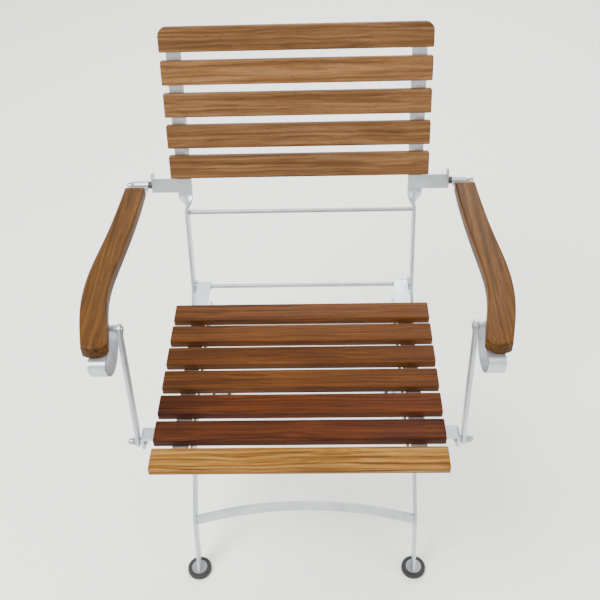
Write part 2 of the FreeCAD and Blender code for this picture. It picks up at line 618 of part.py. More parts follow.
def make_arm_strap():
    """Steel strap under the arm: an eye at the rear, and a scroll and an eye at the front."""
    half = STRAP_WIDTH / 2
    outer, inner = arm_points(STRAP_PLAN, ARM_REAR, ARM_SIDE_FRONT)
    middle = ARM_EYE_START + ARM_EYE_LENGTH / 2
    outer.insert(0, V(middle + half, ARM_PIVOT[0], 0))
    inner.insert(0, V(middle - half, ARM_PIVOT[0], 0))
    edges = [smooth(outer), smooth(inner), Part.LineSegment(outer[0], inner[0]).toShape(),
             Part.LineSegment(outer[-1], inner[-1]).toShape()]
    strip = Part.Face(Part.Wire(Part.__sortEdges__(edges))).extrude(V(0, 0, STRAP_THICKNESS))
    strip.translate(V(0, 0, STRAP_BOTTOM))
    rear_eye = cylinder(ARM_PIVOT, STRAP_EYE_RADIUS, ARM_EYE_START, ARM_EYE_START + ARM_EYE_LENGTH)
    level = STRAP_BOTTOM + STRAP_THICKNESS / 2
    drop = SCROLL_REAR - 2 * SCROLL_RADIUS
    bottom = LINK_HEAD[1] - 1 - SCROLL_RADIUS
    path = [(ARM_SIDE_FRONT + 8, level), (drop, level), (drop, bottom), (SCROLL_REAR, bottom),
            (SCROLL_REAR, LINK_HEAD[1])]
    bends = [level - bottom - SCROLL_RADIUS - 0.01, SCROLL_RADIUS - 0.01, SCROLL_RADIUS - 0.01]
    scroll = bent_bar(path, bends, STRAP_THICKNESS, SCROLL_START, SCROLL_START + STRAP_WIDTH)
    drift = FreeCAD.Matrix()
    drift.A12 = -SCROLL_SLOPE
    drift.A14 = SCROLL_SLOPE * SCROLL_REAR
    scroll = scroll.transformGeometry(drift)
    front_eye = cylinder(LINK_HEAD, STRAP_EYE_RADIUS, FRONT_EYE_START, FRONT_EYE_START + FRONT_EYE_LENGTH)
    eye_end = ARM_EYE_START + ARM_EYE_LENGTH
    for side_face, reach in ((ARM_EYE_START, -6.0), (eye_end, 6.0)):
        strip = strip.cut(cylinder(ARM_PIVOT, STRAP_EYE_RADIUS + 2, side_face, side_face + reach))
    strap = strip.fuse([rear_eye, scroll, front_eye]).removeSplitter()
    bore = PIN_RADIUS + RUNNING_CLEARANCE
    strap = strap.cut(cylinder(ARM_PIVOT, bore, ARM_EYE_START - 5, ARM_EYE_START + ARM_EYE_LENGTH + 5))
    strap = strap.cut(cylinder(LINK_HEAD, bore, FRONT_EYE_START - 5, FRONT_EYE_START + FRONT_EYE_LENGTH + 5))
    for point in arm_screw_points():
        strap = strap.cut(screw_hole(point, UPWARD, STRAP_THICKNESS))
    return strap


def make_link():
    """Flat link with round ends, joggled outwards on its way up from the bracket to the arm."""
    far = LINK_TOP_START + LINK_THICKNESS
    blank = bent_bar([LINK_HEAD, LINK_FOOT], [], LINK_WIDTH, LINK_START, far, round_start=True, round_end=True)
    along = unit(LINK_FOOT, LINK_HEAD)
    length = math.dist(LINK_FOOT, LINK_HEAD)
    edge = [(LINK_START, -LINK_WIDTH), (LINK_START, LINK_END_STRAIGHT),
            (LINK_TOP_START, length - LINK_END_STRAIGHT), (LINK_TOP_START, length + LINK_WIDTH)]
    outline = edge + [(x + LINK_THICKNESS, rise) for x, rise in reversed(edge)]
    across = V(0, along[1], -along[0])
    corners = [V(x, LINK_FOOT[0] + along[0] * rise, LINK_FOOT[1] + along[1] * rise) - across * LINK_WIDTH
               for x, rise in outline]
    ribbon = Part.Face(Part.makePolygon(corners + corners[:1])).extrude(across * (2 * LINK_WIDTH))
    link = blank.common(ribbon)
    for point in (LINK_HEAD, LINK_FOOT):
        link = link.cut(cylinder(point, PIN_RADIUS, LINK_START - 1, far + 1))
    return link


def make_head_pin():
    """Pin fixed in the link's head, turning in the arm's front eye."""
    end = FRONT_EYE_START + FRONT_EYE_LENGTH + SIDE_CLEARANCE
    shank = cylinder(LINK_HEAD, PIN_RADIUS, LINK_TOP_START, end)
    collar = ring(LINK_HEAD, COLLAR_RADIUS, PIN_RADIUS, LINK_TOP_START + LINK_THICKNESS,
                  FRONT_EYE_START - SIDE_CLEARANCE)
    button = cylinder(LINK_HEAD, COLLAR_RADIUS, LINK_TOP_START - 2.5, LINK_TOP_START)
    cap = cylinder(LINK_HEAD, PIN_CAP_RADIUS, end, end + PIN_CAP_HEIGHT)
    return shank.fuse([collar, button, cap]).removeSplitter()


def make_foot_bolt():
    """Bolt fixed in the link's foot, passing through the seat bracket with clearance."""
    inside = SEAT_BRACKET_REACH - RAIL_THICKNESS - SIDE_CLEARANCE
    outside = LINK_START + LINK_THICKNESS
    shank = cylinder(LINK_FOOT, PIN_RADIUS, inside, outside)
    head = cylinder(LINK_FOOT, BOLT_HEAD_RADIUS, inside - 3, inside)
    spacer = cylinder(LINK_FOOT, COLLAR_RADIUS, SEAT_BRACKET_REACH + SIDE_CLEARANCE, LINK_START)
    return shank.fuse([head, spacer, acorn_nut(LINK_FOOT, outside)]).removeSplitter()


def build():
    nodes = {}
    nodes.update(make_back_slats())
    nodes.update(make_seat_slats())
    frame_middle = FRAME_HALF_WIDTH - BAR_THICKNESS / 2
    rear_middle = REAR_FRAME_OUTSIDE - BAR_THICKNESS / 2
    sided = {"back_bar": make_back_bar(), "rear_leg": make_rear_leg(), "seat_rail": make_rail(),
             "seat_bearer": make_bearer(), "seat_bracket": make_seat_bracket(),
             "arm_bracket": make_arm_bracket(), "arm_strap": make_arm_strap(), "arm_link": make_link(),
             "link_head_pin": make_head_pin(), "link_foot_bolt": make_foot_bolt()}
    rest = make_arm_rest()
    for point in arm_screw_points():
        rest = rest.cut(screw_hole(point, UPWARD, STRAP_THICKNESS))
    sided["arm_rest"] = rest
    sided["arm_screws"] = group([screw(p, UPWARD, STRAP_THICKNESS) for p in arm_screw_points()])
    for name, shape in sided.items():
        for side, sign in SIDES.items():
            nodes["%s_%s" % (name, side)] = mirror(shape, sign)
    nodes["upper_rod"] = cylinder(on_back(UPPER_ROD_RISE), ROD_RADIUS, -FRAME_INSIDE, FRAME_INSIDE)
    nodes["hinge_rod"] = cylinder(HINGE, ROD_RADIUS, -FRAME_HALF_WIDTH, FRAME_HALF_WIDTH)
    nodes["seat_support_rod"] = cylinder(SUPPORT_ROD, ROD_RADIUS, -REAR_FRAME_OUTSIDE, REAR_FRAME_OUTSIDE)
    nodes["rear_stretcher_rod"] = cylinder(STRETCHER, ROD_RADIUS, -REAR_FRAME_INSIDE, REAR_FRAME_INSIDE)
    nodes["leg_crossbar"] = make_crossbar()
    washer_end = BRACKET_REACH + ARM_WASHER_THICKNESS
    nodes["hinge_spacers"] = group(pair(ring(HINGE, 12.0, ROD_RADIUS, RAIL_OUTSIDE + 0.5, FRAME_INSIDE)))
    nodes["scissor_washers"] = group(pair(ring(SCISSOR, 9.0, RIVET_DIAMETER / 2,
                                               REAR_FRAME_OUTSIDE + SIDE_CLEARANCE, FRAME_INSIDE)))
    nodes["scissor_rivets"] = group(pair(make_scissor_rivet()))
    nodes["arm_pivot_bolts"] = group(pair(make_arm_bolt()))
    nodes["arm_pivot_washers"] = group(pair(ring(ARM_PIVOT, 6.5, PIN_RADIUS, BRACKET_REACH, washer_end)))
    front_disc, front_pad = make_foot(FRONT_FOOT, frame_middle)
    rear_disc, rear_pad = make_foot(REAR_FOOT, rear_middle)
    nodes["front_foot_discs"] = group(pair(front_disc))
    nodes["front_foot_pads"] = group(pair(front_pad))
    nodes["rear_foot_discs"] = group(pair(rear_disc))
    nodes["rear_foot_pads"] = group(pair(rear_pad))
    seat_screws = [screw(p, UPWARD, RAIL_THICKNESS) for i in range(SEAT_SLAT_COUNT) for p in seat_screw_points(i)]
    back_screws = [screw(p, FORWARD_FROM_BACK, BAR_THICKNESS)
                   for i in range(BACK_SLAT_COUNT) for p in back_screw_points(i)]
    nodes["seat_slat_screws"] = group(seat_screws)
    nodes["back_slat_screws"] = group(back_screws)
    return nodes


os.makedirs("parts", exist_ok=True)
nodes = build()
extent = group(list(nodes.values())).optimalBoundingBox(True, False)
middle_y = (extent.YMin + extent.YMax) / 2
for name, shape in nodes.items():
    shape.translate(V(0, -middle_y, 0))
    shape.exportStep("parts/%s.step" % name)

for name, point in (("hinge", HINGE), ("scissor", SCISSOR), ("arm pivot", ARM_PIVOT),
                    ("link head", LINK_HEAD), ("link foot", LINK_FOOT), ("support rod", SUPPORT_ROD)):
    print("%-12s y %9.3f  z %9.3f" % (name, point[0] - middle_y, point[1]))
print("%d nodes, size %.2f x %.2f x %.2f" % (len(nodes), extent.XLength, extent.YLength, extent.ZLength))
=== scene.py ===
"""Folding garden armchair: the finished looks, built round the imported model."""

import json
import math

import bmesh
import bpy
from bpy.props import FloatProperty, FloatVectorProperty, PointerProperty
from mathutils import Matrix, Vector

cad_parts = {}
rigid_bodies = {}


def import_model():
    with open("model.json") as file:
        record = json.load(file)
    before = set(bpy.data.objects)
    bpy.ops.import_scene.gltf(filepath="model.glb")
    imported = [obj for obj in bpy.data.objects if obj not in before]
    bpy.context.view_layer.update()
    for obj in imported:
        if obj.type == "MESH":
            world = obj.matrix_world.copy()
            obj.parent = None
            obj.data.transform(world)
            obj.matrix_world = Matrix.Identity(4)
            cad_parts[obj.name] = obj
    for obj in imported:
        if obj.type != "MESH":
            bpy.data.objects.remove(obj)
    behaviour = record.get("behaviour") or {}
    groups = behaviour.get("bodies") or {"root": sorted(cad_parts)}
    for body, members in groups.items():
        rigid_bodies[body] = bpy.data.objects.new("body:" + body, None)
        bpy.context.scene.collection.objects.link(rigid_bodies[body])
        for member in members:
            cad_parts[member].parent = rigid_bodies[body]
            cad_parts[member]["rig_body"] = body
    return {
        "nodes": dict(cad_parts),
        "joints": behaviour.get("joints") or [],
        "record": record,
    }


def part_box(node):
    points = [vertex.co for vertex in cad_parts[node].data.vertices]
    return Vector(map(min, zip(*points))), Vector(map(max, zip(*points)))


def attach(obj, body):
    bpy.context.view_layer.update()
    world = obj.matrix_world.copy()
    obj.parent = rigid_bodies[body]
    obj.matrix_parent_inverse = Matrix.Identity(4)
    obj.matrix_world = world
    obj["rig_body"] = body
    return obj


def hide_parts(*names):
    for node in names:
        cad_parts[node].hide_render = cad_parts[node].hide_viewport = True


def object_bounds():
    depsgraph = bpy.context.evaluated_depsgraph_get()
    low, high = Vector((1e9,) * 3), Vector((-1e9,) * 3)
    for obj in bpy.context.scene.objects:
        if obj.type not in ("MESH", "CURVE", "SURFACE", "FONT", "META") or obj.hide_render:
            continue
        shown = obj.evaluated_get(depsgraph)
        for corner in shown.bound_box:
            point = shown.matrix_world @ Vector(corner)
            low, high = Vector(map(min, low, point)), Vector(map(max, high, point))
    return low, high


bl_info = {
    "name": "Folding Armchair",
    "version": (1, 0, 0),
    "blender": (4, 5, 0),
    "location": "View3D > Sidebar > Armchair",
    "description": "Teak slats, arms and galvanised fittings of a folding garden armchair",
    "category": "Object",
}

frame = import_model()
CAD_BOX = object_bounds()
NODES = frame["nodes"]
HINGE = Vector(next(j for j in frame["joints"] if j["name"] == "seat_hinge")["pos_m"])
MM = 0.001

# Tone of each slat, 0 palest to 1 darkest, from the front of the seat and from the bottom of the back
SEAT_TONES = (0.42, 0.80, 0.70, 0.48, 0.52, 0.34, 0.38)
BACK_TONES = (0.66, 0.62, 0.50, 0.16, 0.82)

# Bars keep a slightly eased edge from rolling, which catches the light
EDGE_EASE = 0.35 * MM
SMOOTH_ANGLE = math.radians(32)
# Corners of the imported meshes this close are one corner, and faces this close to flat are one face
WELD_DISTANCE = 0.002 * MM
FLAT_ANGLE = math.radians(0.4)

# Place, aim and lens of the camera; its film is 36 mm wide
CAMERA_PLACE = (0.0415, -1.0207, 1.4625)
CAMERA_YAW = math.radians(-2.28)
CAMERA_DOWN = math.radians(42.71)
CAMERA_ROLL = math.radians(-2.29)
CAMERA_LENS = 50.15
CAMERA_FILM = 36.0

FLOOR_HALF = 9.0
SURROUND_STRENGTH = 1.5
# Name, place, size in metres and power in watts of each soft light; all aim at the chair's middle
LIGHTS = (
    ("Key", (-1.5, -0.9, 3.0), 1.6, 140.0),
    ("Fill", (2.2, -1.2, 2.2), 2.0, 40.0),
    ("Back", (0.4, 2.4, 2.4), 1.8, 65.0),
)

SCREW_NODES = ("seat_slat_screws", "back_slat_screws", "arm_screws_left", "arm_screws_right")
FIRST_SCREW_SEED = 3


def linear(hex_colour):
    """sRGB hex colour as linear red, green, blue and alpha."""
    parts = [int(hex_colour[i:i + 2], 16) / 255 for i in (1, 3, 5)]
    return tuple(p / 12.92 if p <= 0.04045 else ((p + 0.055) / 1.055) ** 2.4 for p in parts) + (1.0,)


def add(tree, kind, inputs=None, **settings):
    """Adds a node, sets its properties, and sets or links its inputs."""
    node = tree.nodes.new(kind)
    for name, value in settings.items():
        setattr(node, name, value)
    for key, value in (inputs or {}).items():
        if isinstance(value, bpy.types.NodeSocket):
            tree.links.new(value, node.inputs[key])
        else:
            node.inputs[key].default_value = value
    return node


def new_material(name):
    """An empty material with its node tree."""
    material = bpy.data.materials.new(name)
    material.use_nodes = True
    material.node_tree.nodes.clear()
    return material, material.node_tree


def per_metre(along_mm, across_mm, axis):
    """Pattern scale for features of these real lengths along and across an axis."""
    scale = [1 / (across_mm * MM)] * 3
    scale[axis] = 1 / (along_mm * MM)
    return tuple(scale)


def oiled_teak(name, pale, middle, dark, axis, contrast, shift):
    """Planed and oiled teak: straight growth bands, fine darker pores, low satin gloss."""
    material, tree = new_material(name)
    place = add(tree, "ShaderNodeTexCoord").outputs["Object"]
    # Growth bands are 4 to 7 mm wide and wander slowly along the board
    wander = add(tree, "ShaderNodeTexNoise", {
        "Vector": add(tree, "ShaderNodeMapping", {
            "Vector": place, "Location": shift, "Scale": per_metre(190, 60, axis)}).outputs[0],
        "Scale": 1.0, "Detail": 2.0})
    swing = add(tree, "ShaderNodeVectorMath", {
        0: wander.outputs["Color"], 1: (0.5, 0.5, 0.5)}, operation="SUBTRACT")
    swung = add(tree, "ShaderNodeVectorMath", {
        0: swing.outputs[0], 1: (0.016, 0.016, 0.016)}, operation="MULTIPLY")
    bent = add(tree, "ShaderNodeVectorMath", {0: place, 1: swung.outputs[0]}, operation="ADD")
    bands = add(tree, "ShaderNodeTexNoise", {
        "Vector": add(tree, "ShaderNodeMapping", {
            "Vector": bent.outputs[0], "Location": shift, "Scale": per_metre(420, 5.0, axis)}).outputs[0],
        "Scale": 1.0, "Detail": 3.0, "Roughness": 0.55})
    # Fine grain is drawn 1.3 mm wide, coarser than real pores, so that it shows
    grain = add(tree, "ShaderNodeTexNoise", {
        "Vector": add(tree, "ShaderNodeMapping", {
            "Vector": bent.outputs[0], "Scale": per_metre(70, 1.3, axis)}).outputs[0],
        "Scale": 1.0, "Detail": 4.0, "Roughness": 0.65})
    pores = add(tree, "ShaderNodeTexNoise", {
        "Vector": add(tree, "ShaderNodeMapping", {
            "Vector": place, "Scale": per_metre(14, 0.9, axis)}).outputs[0],
        "Scale": 1.0, "Detail": 2.0})
    patches = add(tree, "ShaderNodeTexNoise", {
        "Vector": add(tree, "ShaderNodeMapping", {
            "Vector": place, "Location": shift, "Scale": per_metre(160, 45, axis)}).outputs[0],
        "Scale": 1.0, "Detail": 1.0})
    tone = add(tree, "ShaderNodeAttribute", attribute_name="tone").outputs["Fac"]
    ramp = add(tree, "ShaderNodeValToRGB", {"Fac": bands.outputs[0]})
    ramp.color_ramp.elements[0].position = 0.5 - 0.22 / contrast
    ramp.color_ramp.elements[0].color = linear(dark)
    ramp.color_ramp.elements[1].position = 0.5 + 0.20 / contrast
    ramp.color_ramp.elements[1].color = linear(pale)
    centre = ramp.color_ramp.elements.new(0.5)
    centre.color = linear(middle)
    grain_value = add(tree, "ShaderNodeMapRange", {
        "Value": grain.outputs[0], "From Min": 0.32, "From Max": 0.68, "To Min": 0.80, "To Max": 1.14})
    pore_value = add(tree, "ShaderNodeMapRange", {
        "Value": pores.outputs[0], "From Min": 0.30, "From Max": 0.42, "To Min": 0.62, "To Max": 1.0})
    patch_value = add(tree, "ShaderNodeMapRange", {
        "Value": patches.outputs[0], "From Min": 0.3, "From Max": 0.7, "To Min": 0.88, "To Max": 1.10})
    tone_value = add(tree, "ShaderNodeMapRange", {
        "Value": tone, "From Min": 0.0, "From Max": 1.0, "To Min": 1.32, "To Max": 0.72})
    first = add(tree, "ShaderNodeMath", {0: grain_value.outputs[0], 1: pore_value.outputs[0]},
                operation="MULTIPLY")
    second = add(tree, "ShaderNodeMath", {0: patch_value.outputs[0], 1: tone_value.outputs[0]},
                 operation="MULTIPLY")
    value = add(tree, "ShaderNodeMath", {0: first.outputs[0], 1: second.outputs[0]}, operation="MULTIPLY")
    # End grain soaks up oil and looks darker
    normal = add(tree, "ShaderNodeSeparateXYZ", {
        0: add(tree, "ShaderNodeNewGeometry").outputs["Normal"]}).outputs[axis]
    ends = add(tree, "ShaderNodeMapRange", {
        "Value": add(tree, "ShaderNodeMath", {0: normal}, operation="ABSOLUTE").outputs[0],
        "From Min": 0.7, "From Max": 0.95, "To Min": 1.0, "To Max": 0.66})
    shade = add(tree, "ShaderNodeMath", {0: value.outputs[0], 1: ends.outputs[0]}, operation="MULTIPLY")
    colour = add(tree, "ShaderNodeHueSaturation", {
        "Color": ramp.outputs[0], "Value": shade.outputs[0]})
    roughness = add(tree, "ShaderNodeMapRange", {
        "Value": grain.outputs[0], "From Min": 0.3, "From Max": 0.7, "To Min": 0.60, "To Max": 0.42})
    bump = add(tree, "ShaderNodeBump", {
        "Height": first.outputs[0], "Strength": 0.35, "Distance": 0.25 * MM})
    shader = add(tree, "ShaderNodeBsdfPrincipled", {
        "Base Color": colour.outputs[0], "Roughness": roughness.outputs[0],
        "Normal": bump.outputs[0], "IOR": 1.48, "Specular IOR Level": 0.12})
    add(tree, "ShaderNodeOutputMaterial", {"Surface": shader.outputs[0]})
    return material


def galvanised_steel(name, colour, roughness, spangle_mm):
    """Hot-dip galvanised steel: pale grey, soft gloss, faint zinc crystals and dulled patches."""
    material, tree = new_material(name)
    place = add(tree, "ShaderNodeTexCoord").outputs["Object"]
    crystals = add(tree, "ShaderNodeTexVoronoi", {"Vector": place, "Scale": 1 / (spangle_mm * MM)})
    grey = add(tree, "ShaderNodeSeparateColor", {0: crystals.outputs["Color"]}).outputs[0]
    cloud = add(tree, "ShaderNodeTexNoise", {
        "Vector": place, "Scale": 1 / (38 * MM), "Detail": 3.0})
    specks = add(tree, "ShaderNodeTexNoise", {
        "Vector": place, "Scale": 1 / (1.4 * MM), "Detail": 2.0})
    crystal_value = add(tree, "ShaderNodeMapRange", {
        "Value": grey, "To Min": 0.93, "To Max": 1.05})
    cloud_value = add(tree, "ShaderNodeMapRange", {
        "Value": cloud.outputs[0], "From Min": 0.3, "From Max": 0.7, "To Min": 0.86, "To Max": 1.06})
    value = add(tree, "ShaderNodeMath", {
        0: crystal_value.outputs[0], 1: cloud_value.outputs[0]}, operation="MULTIPLY")
    tint = add(tree, "ShaderNodeHueSaturation", {"Color": linear(colour), "Value": value.outputs[0]})
    gloss = add(tree, "ShaderNodeMapRange", {
        "Value": specks.outputs[0], "From Min": 0.3, "From Max": 0.7,
        "To Min": roughness - 0.07, "To Max": roughness + 0.09})
    bump = add(tree, "ShaderNodeBump", {
        "Height": specks.outputs[0], "Strength": 0.12, "Distance": 0.1 * MM})
    shader = add(tree, "ShaderNodeBsdfPrincipled", {
        "Base Color": tint.outputs[0], "Metallic": 0.9, "Roughness": gloss.outputs[0],
        "Normal": bump.outputs[0]})
    add(tree, "ShaderNodeOutputMaterial", {"Surface": shader.outputs[0]})
    return material


def moulded_black(name, colour, roughness, grit_mm):
    """Moulded rubber or nylon: near black, matt, with a fine pebbled skin and a little dust."""
    material, tree = new_material(name)
    place = add(tree, "ShaderNodeTexCoord").outputs["Object"]
    grit = add(tree, "ShaderNodeTexNoise", {"Vector": place, "Scale": 1 / (grit_mm * MM), "Detail": 3.0})
    dust = add(tree, "ShaderNodeTexNoise", {"Vector": place, "Scale": 1 / (14 * MM), "Detail": 4.0})
    value = add(tree, "ShaderNodeMapRange", {
        "Value": dust.outputs[0], "From Min": 0.3, "From Max": 0.75, "To Min": 0.8, "To Max": 1.7})
    tint = add(tree, "ShaderNodeHueSaturation", {"Color": linear(colour), "Value": value.outputs[0]})
    gloss = add(tree, "ShaderNodeMapRange", {
        "Value": grit.outputs[0], "To Min": roughness - 0.1, "To Max": roughness + 0.1})
    bump = add(tree, "ShaderNodeBump", {
        "Height": grit.outputs[0], "Strength": 0.3, "Distance": 0.15 * MM})
    shader = add(tree, "ShaderNodeBsdfPrincipled", {
        "Base Color": tint.outputs[0], "Roughness": gloss.outputs[0], "Normal": bump.outputs[0]})
    add(tree, "ShaderNodeOutputMaterial", {"Surface": shader.outputs[0]})
    return material


FINISHES = {}


def materials():
    """Every finish on the chair by the record's slot name, made once."""
    if FINISHES:
        return FINISHES
    # Pale, middle and dark colour, axis of the grain, contrast of its bands, and where its pattern starts
    teak = {
        "teak_pale": ("#87632E", "#704A18", "#502E08", 0, 1.7, (0.3, 0.11, 0.2)),
        "teak_dark": ("#562A0A", "#451E03", "#2A0E01", 0, 1.1, (0.1, 0.5, 0.9)),
        "teak_seat": ("#593412", "#4B2909", "#311704", 0, 1.1, (0.7, 0.2, 0.4)),
        "teak_back": ("#765739", "#644426", "#442D15", 0, 1.0, (0.5, 0.9, 0.1)),
        "teak_arm": ("#503210", "#422809", "#2D1A04", 1, 1.1, (0.2, 0.3, 0.6)),
    }
    for name, recipe in teak.items():
        FINISHES[name] = oiled_teak("oiled_" + name, *recipe)
    # Colour, roughness and width of the zinc crystals in millimetres
    steels = {
        "galvanised_bar": ("#BFC1C4", 0.42, 7.0),
        "galvanised_rod": ("#B4B5B7", 0.38, 5.0),
        "fastener_steel": ("#A9AAAB", 0.30, 3.0),
        "disc_steel": ("#8E9092", 0.42, 4.0),
    }
    for name, recipe in steels.items():
        FINISHES[name] = galvanised_steel("zinc_" + name, *recipe)
    FINISHES["washer_dark"] = moulded_black("black_nylon", "#2A2320", 0.5, 0.8)
    FINISHES["foot_rubber"] = moulded_black("black_rubber", "#141414", 0.62, 0.7)
    return FINISHES


def link_object(name, mesh):
    """A new object in the scene that shows this mesh, lamp or camera."""
    made = bpy.data.objects.new(name, mesh)
    bpy.context.scene.collection.objects.link(made)
    return made


def settle(made):
    """Turns an object with modifiers into a plain mesh of its own."""
    bpy.context.view_layer.update()
    graph = bpy.context.evaluated_depsgraph_get()
    mesh = bpy.data.meshes.new_from_object(
        made.evaluated_get(graph), preserve_all_data_layers=True, depsgraph=graph)
    mesh.name = made.name
    made.modifiers.clear()
    made.data = mesh
    return made


def ease_edges(made, width, segments):
    """Rounds edges sharper than the smoothing angle, and shades the rest smooth."""
    bevel = made.modifiers.new("Eased edges", "BEVEL")
    bevel.width = width
    bevel.segments = segments
    bevel.limit_method = "ANGLE"
    bevel.angle_limit = SMOOTH_ANGLE
    bevel.harden_normals = True
    bevel.use_clamp_overlap = True
    return made


def stand_for(made, body, nodes):
    """Hides the nodes a piece replaces and hangs the piece on the body that carries it."""
    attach(made, body)
    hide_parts(*nodes)
    return made


def merged_copy(node):
    """A node's mesh with its loose triangles joined and its flat faces made whole."""
    mesh = NODES[node].data.copy()
    if "custom_normal" in mesh.attributes:
        mesh.attributes.remove(mesh.attributes["custom_normal"])
    work = bmesh.new()
    work.from_mesh(mesh)
    bmesh.ops.remove_doubles(work, verts=work.verts, dist=WELD_DISTANCE)
    bmesh.ops.dissolve_limit(work, angle_limit=FLAT_ANGLE, verts=work.verts,
                             edges=work.edges, use_dissolve_boundaries=False)
    for face in work.faces:
        face.smooth = True
    for edge in work.edges:
        edge.smooth = edge.is_manifold and edge.calc_face_angle(0.0) < SMOOTH_ANGLE
    work.to_mesh(mesh)
    work.free()
    mesh.materials.clear()
    return mesh


def finish_node(node, slot, ease=EDGE_EASE):
    """A finished piece from one node, with eased edges and its material."""
    made = link_object(node + "_finish", merged_copy(node))
    made.data.name = made.name
    made.data.materials.append(materials()[slot])
    if ease:
        settle(ease_edges(made, ease, 2))
    return stand_for(made, NODES[node]["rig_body"], [node])


def new_group(name, sockets):
    """A Geometry Nodes tree with named inputs; returns it with its input node."""
    tree = bpy.data.node_groups.new(name, "GeometryNodeTree")
    tree.is_modifier = True
    tree.interface.new_socket("Geometry", in_out="OUTPUT", socket_type="NodeSocketGeometry")
    tree.interface.new_socket("Geometry", in_out="INPUT", socket_type="NodeSocketGeometry")
    for label, kind in sockets:
        tree.interface.new_socket(label, in_out="INPUT", socket_type=kind)
    return tree, add(tree, "NodeGroupInput")


def use_group(made, tree, values):
    """Puts a tree on an object and sets its inputs by their identifiers."""
    modifier = made.modifiers.new(tree.name, "NODES")
    modifier.node_group = tree
    for item in tree.interface.items_tree:
        if item.in_out == "INPUT" and item.name in values:
            modifier[item.identifier] = values[item.name]
    return made


def points_mesh(name, places, tones=None, axes=None):
    """Loose points for a tree to build on, each with a tone or a direction."""
    mesh = bpy.data.meshes.new(name)
    mesh.from_pydata([tuple(p) for p in places], [], [])
    if tones:
        layer = mesh.attributes.new("tone", "FLOAT", "POINT")
        layer.data.foreach_set("value", list(tones))
    if axes:
        layer = mesh.attributes.new("direction", "FLOAT_VECTOR", "POINT")
        layer.data.foreach_set("vector", [c for a in axes for c in a])
    return mesh


def slat_group():
    """One slat on each point: an outline with rounded far corners, given its thickness."""
    tree, given = new_group("Slats", (
        ("Length", "NodeSocketFloat"), ("Width", "NodeSocketFloat"), ("Thickness", "NodeSocketFloat"),
        ("Corner Radius", "NodeSocketFloat"), ("Tilt", "NodeSocketFloat"),
        ("Material", "NodeSocketMaterial")))
    outline = add(tree, "GeometryNodeCurvePrimitiveQuadrilateral", {
        "Width": given.outputs["Length"], "Height": given.outputs["Width"]})
    side = add(tree, "ShaderNodeSeparateXYZ", {0: add(tree, "GeometryNodeInputPosition").outputs[0]})
    far = add(tree, "ShaderNodeMath", {0: side.outputs[1], 1: 0.0}, operation="GREATER_THAN")
    radius = add(tree, "ShaderNodeMath", {0: far.outputs[0], 1: given.outputs["Corner Radius"]},
                 operation="MULTIPLY")
    rounded = add(tree, "GeometryNodeFilletCurve", {
        "Curve": outline.outputs[0], "Count": 8, "Radius": radius.outputs[0]}, mode="POLY")
    face = add(tree, "GeometryNodeFillCurve", {"Curve": rounded.outputs[0]}, mode="NGONS")
    raised = add(tree, "GeometryNodeExtrudeMesh", {
        "Mesh": face.outputs[0], "Offset": (0.0, 0.0, 1.0),
        "Offset Scale": given.outputs["Thickness"], "Individual": False})
    under = add(tree, "GeometryNodeFlipFaces", {"Mesh": face.outputs[0]})
    joined = add(tree, "GeometryNodeJoinGeometry", {0: raised.outputs[0]})
    tree.links.new(under.outputs[0], joined.inputs[0])
    closed = add(tree, "GeometryNodeMergeByDistance", {
        "Geometry": joined.outputs[0], "Distance": 0.01 * MM})
    tilt = add(tree, "FunctionNodeEulerToRotation", {
        0: add(tree, "ShaderNodeCombineXYZ", {0: given.outputs["Tilt"]}).outputs[0]})
    placed = add(tree, "GeometryNodeInstanceOnPoints", {
        "Points": given.outputs["Geometry"], "Instance": closed.outputs[0], "Rotation": tilt.outputs[0]})
    finish_group(tree, given, placed)
    return tree


def finish_group(tree, given, placed):
    """Every tree ends here: instances made real, then the material."""
    real = add(tree, "GeometryNodeRealizeInstances", {"Geometry": placed.outputs[0]})
    coated = add(tree, "GeometryNodeSetMaterial", {
        "Geometry": real.outputs[0], "Material": given.outputs["Material"]})
    add(tree, "NodeGroupOutput", {0: coated.outputs[0]})


